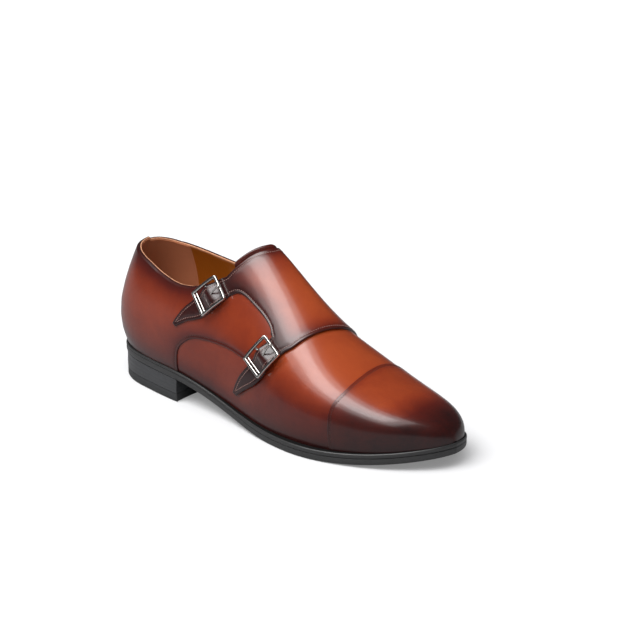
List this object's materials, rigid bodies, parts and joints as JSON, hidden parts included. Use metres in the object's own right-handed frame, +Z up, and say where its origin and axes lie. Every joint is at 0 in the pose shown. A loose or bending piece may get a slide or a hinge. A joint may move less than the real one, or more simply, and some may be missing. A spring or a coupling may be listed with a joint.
{
  "type": "monk strap shoe",
  "caption": "Right leather double monk strap shoe: hollow lasted upper, instep flap with two buckled straps, tongue, welted sole and stacked heel.",
  "frame": {"origin": "middle of the shoe's box, on the floor it stands on", "axes": "+X towards the toe, +Y towards the inner side of the foot, +Z up"},
  "size_m": [0.302, 0.1024, 0.1214],
  "materials": {
    "upper_leather": "polished hand-burnished calf leather, cognac fading to near-black at the edges",
    "flap_leather": "polished hand-burnished calf leather, darkened at the edges",
    "tongue_leather": "polished dark brown calf leather",
    "lining_leather": "matt tan vegetable-tanned lining leather",
    "sole_leather": "black dyed and waxed sole leather",
    "heel_leather": "black waxed stacked leather",
    "lift_rubber": "black rubber top piece",
    "buckle_metal": "polished nickel-plated metal",
    "stitch_thread": "waxed dark brown thread"
  },
  "bodies": {
    "root": {"top_lift": "lift_rubber", "heel_stack": "heel_leather", "outsole": "sole_leather", "welt": "sole_leather", "insole": "lining_leather", "upper": "upper_leather", "tongue": "tongue_leather", "strap_flap": "flap_leather", "upper_buckle": "buckle_metal", "upper_prong": "buckle_metal", "lower_buckle": "buckle_metal", "lower_prong": "buckle_metal"}
  },
  "joints": []
}
